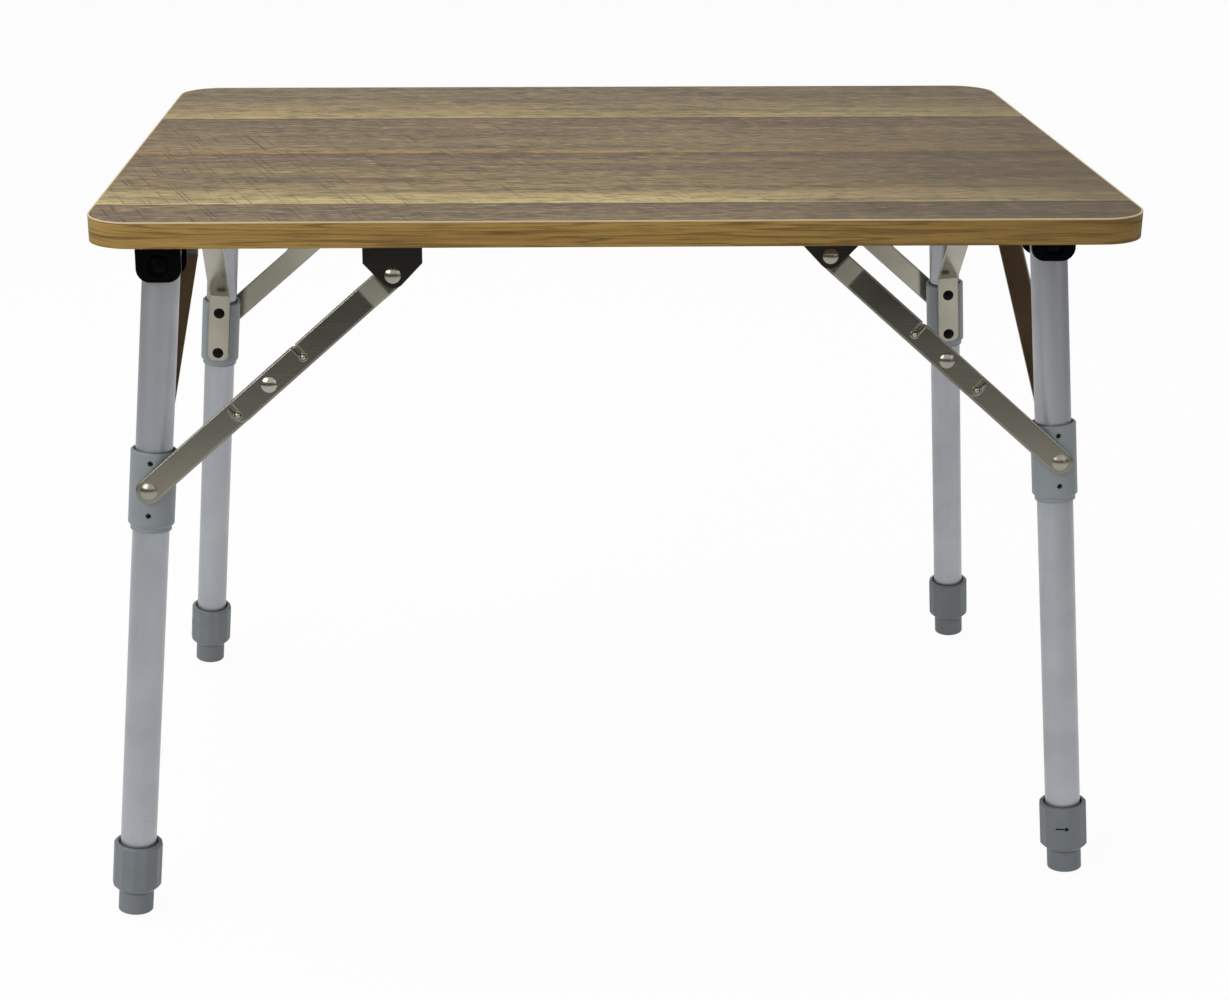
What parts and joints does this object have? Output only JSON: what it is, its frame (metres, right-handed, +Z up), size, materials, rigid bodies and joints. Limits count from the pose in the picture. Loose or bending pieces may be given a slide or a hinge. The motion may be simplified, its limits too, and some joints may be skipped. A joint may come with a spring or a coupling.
{
  "type": "folding camping table",
  "caption": "Low folding camping table: rounded wood-decor board on splayed tubular legs with knee stays, braces and twist-lock telescopic feet.",
  "frame": {"origin": "on the floor under the middle of the board", "axes": "+X along the board's length to the right in the picture, +Y to the back, +Z up"},
  "size_m": [0.6226, 0.4528, 0.4417],
  "materials": {
    "core": "raw particle board",
    "laminate": "satin wood-decor laminate",
    "band": "satin oak-decor edge band",
    "bracket": "matt black moulded",
    "tube": "satin anodised",
    "collar": "mid grey moulded",
    "twist": "dark grey moulded",
    "steel": "bright plated strip",
    "rivet": "nickel plated",
    "black_rivet": "black",
    "foot": "dark grey moulded"
  },
  "bodies": {
    "table": {"core_board": "core", "top_laminate": "laminate", "edge_band": "band", "hinge_bolts": "black_rivet", "bracket_rivets": "rivet", "brace_brackets": "steel", "brace_pins": "rivet", "bracket_screws": "rivet", "hinge_bracket_left_front": "bracket", "stay_bracket_left_front": "steel", "hinge_bracket_left_rear": "bracket", "stay_bracket_left_rear": "steel", "hinge_bracket_right_front": "bracket", "stay_bracket_right_front": "steel", "hinge_bracket_right_rear": "bracket", "stay_bracket_right_rear": "steel"},
    "leg_left_front": {"leg_tube_left_front": "tube", "stay_collar_left_front": "collar", "leg_brace_left_front": "steel", "brace_rivets_left_front": "black_rivet", "clamp_bush_left_front": "collar"},
    "stay_upper_left_front": {"upper_link_left_front": "steel", "knee_rivet_left_front": "rivet"},
    "stay_lower_left_front": {"lower_link_left_front": "steel"},
    "twist_left_front": {"twist_collar_left_front": "twist"},
    "extension_left_front": {"inner_tube_left_front": "tube", "foot_left_front": "foot"},
    "leg_left_rear": {"leg_tube_left_rear": "tube", "stay_collar_left_rear": "collar", "leg_brace_left_rear": "steel", "brace_rivets_left_rear": "black_rivet", "clamp_bush_left_rear": "collar"},
    "stay_upper_left_rear": {"upper_link_left_rear": "steel", "knee_rivet_left_rear": "rivet"},
    "stay_lower_left_rear": {"lower_link_left_rear": "steel"},
    "twist_left_rear": {"twist_collar_left_rear": "twist"},
    "extension_left_rear": {"inner_tube_left_rear": "tube", "foot_left_rear": "foot"},
    "leg_right_front": {"leg_tube_right_front": "tube", "stay_collar_right_front": "collar", "leg_brace_right_front": "steel", "brace_rivets_right_front": "black_rivet", "clamp_bush_right_front": "collar"},
    "stay_upper_right_front": {"upper_link_right_front": "steel", "knee_rivet_right_front": "rivet"},
    "stay_lower_right_front": {"lower_link_right_front": "steel"},
    "twist_right_front": {"twist_collar_right_front": "twist"},
    "extension_right_front": {"inner_tube_right_front": "tube", "foot_right_front": "foot"},
    "leg_right_rear": {"leg_tube_right_rear": "tube", "stay_collar_right_rear": "collar", "leg_brace_right_rear": "steel", "brace_rivets_right_rear": "black_rivet", "clamp_bush_right_rear": "collar"},
    "stay_upper_right_rear": {"upper_link_right_rear": "steel", "knee_rivet_right_rear": "rivet"},
    "stay_lower_right_rear": {"lower_link_right_rear": "steel"},
    "twist_right_rear": {"twist_collar_right_rear": "twist"},
    "extension_right_rear": {"inner_tube_right_rear": "tube", "foot_right_rear": "foot"}
  },
  "joints": [
    {"name": "fold_left_front", "type": "hinge", "parent": "table", "child": "leg_left_front", "pos_m": [-0.262, -0.184, 0.40968], "axis": [0, -0.9976, 0.0698], "range_deg": [0, 95]},
    {"name": "stay_left_front", "type": "hinge", "parent": "table", "child": "stay_upper_left_front", "pos_m": [-0.128, -0.18435, 0.40469], "axis": [0, -0.9976, 0.0698], "range_deg": [-42.9, 0]},
    {"name": "knee_left_front", "type": "hinge", "parent": "stay_upper_left_front", "child": "stay_lower_left_front", "pos_m": [-0.20084, -0.18883, 0.3406], "axis": [0, -0.9976, 0.0698], "range_deg": [0, 182.96]},
    {"name": "extend_left_front", "type": "slide", "parent": "leg_left_front", "child": "extension_left_front", "axis": [-0.0872, -0.0695, -0.9938], "range_m": [0, 0.18]},
    {"name": "lock_left_front", "type": "hinge", "parent": "leg_left_front", "child": "twist_left_front", "pos_m": [-0.29512, -0.21041, 0.03205], "axis": [-0.0872, -0.0695, -0.9938], "range_deg": [0, 90]},
    {"name": "fold_left_rear", "type": "hinge", "parent": "table", "child": "leg_left_rear", "pos_m": [-0.262, 0.143, 0.40968], "axis": [0, -0.9976, -0.0698], "range_deg": [0, 91]},
    {"name": "stay_left_rear", "type": "hinge", "parent": "table", "child": "stay_upper_left_rear", "pos_m": [-0.128, 0.14335, 0.40469], "axis": [0, -0.9976, -0.0698], "range_deg": [-44.43, 0]},
    {"name": "knee_left_rear", "type": "hinge", "parent": "stay_upper_left_rear", "child": "stay_lower_left_rear", "pos_m": [-0.20084, 0.14783, 0.3406], "axis": [0, -0.9976, -0.0698], "range_deg": [0, 177.44]},
    {"name": "extend_left_rear", "type": "slide", "parent": "leg_left_rear", "child": "extension_left_rear", "axis": [-0.0872, 0.0695, -0.9938], "range_m": [0, 0.18]},
    {"name": "lock_left_rear", "type": "hinge", "parent": "leg_left_rear", "child": "twist_left_rear", "pos_m": [-0.29512, 0.16941, 0.03205], "axis": [-0.0872, 0.0695, -0.9938], "range_deg": [0, 90]},
    {"name": "fold_right_front", "type": "hinge", "parent": "table", "child": "leg_right_front", "pos_m": [0.262, -0.143, 0.40968], "axis": [0, 0.9976, -0.0698], "range_deg": [0, 91]},
    {"name": "stay_right_front", "type": "hinge", "parent": "table", "child": "stay_upper_right_front", "pos_m": [0.128, -0.14335, 0.40469], "axis": [0, 0.9976, -0.0698], "range_deg": [-44.43, 0]},
    {"name": "knee_right_front", "type": "hinge", "parent": "stay_upper_right_front", "child": "stay_lower_right_front", "pos_m": [0.20084, -0.14783, 0.3406], "axis": [0, 0.9976, -0.0698], "range_deg": [0, 177.44]},
    {"name": "extend_right_front", "type": "slide", "parent": "leg_right_front", "child": "extension_right_front", "axis": [0.0872, -0.0695, -0.9938], "range_m": [0, 0.18]},
    {"name": "lock_right_front", "type": "hinge", "parent": "leg_right_front", "child": "twist_right_front", "pos_m": [0.29512, -0.16941, 0.03205], "axis": [0.0872, -0.0695, -0.9938], "range_deg": [0, 90]},
    {"name": "fold_right_rear", "type": "hinge", "parent": "table", "child": "leg_right_rear", "pos_m": [0.262, 0.184, 0.40968], "axis": [0, 0.9976, 0.0698], "range_deg": [0, 95]},
    {"name": "stay_right_rear", "type": "hinge", "parent": "table", "child": "stay_upper_right_rear", "pos_m": [0.128, 0.18435, 0.40469], "axis": [0, 0.9976, 0.0698], "range_deg": [-42.9, 0]},
    {"name": "knee_right_rear", "type": "hinge", "parent": "stay_upper_right_rear", "child": "stay_lower_right_rear", "pos_m": [0.20084, 0.18883, 0.3406], "axis": [0, 0.9976, 0.0698], "range_deg": [0, 182.96]},
    {"name": "extend_right_rear", "type": "slide", "parent": "leg_right_rear", "child": "extension_right_rear", "axis": [0.0872, 0.0695, -0.9938], "range_m": [0, 0.18]},
    {"name": "lock_right_rear", "type": "hinge", "parent": "leg_right_rear", "child": "twist_right_rear", "pos_m": [0.29512, 0.21041, 0.03205], "axis": [0.0872, 0.0695, -0.9938], "range_deg": [0, 90]}
  ],
  "couplings": [
    {"joint": "stay_left_front", "follows": "fold_left_front", "ratio": -0.45145},
    {"joint": "knee_left_front", "follows": "fold_left_front", "ratio": 1.9258},
    {"joint": "stay_left_rear", "follows": "fold_left_rear", "ratio": -0.48814},
    {"joint": "knee_left_rear", "follows": "fold_left_rear", "ratio": 1.9498},
    {"joint": "stay_right_front", "follows": "fold_right_front", "ratio": -0.48814},
    {"joint": "knee_right_front", "follows": "fold_right_front", "ratio": 1.9498},
    {"joint": "stay_right_rear", "follows": "fold_right_rear", "ratio": -0.45145},
    {"joint": "knee_right_rear", "follows": "fold_right_rear", "ratio": 1.9258}
  ]
}
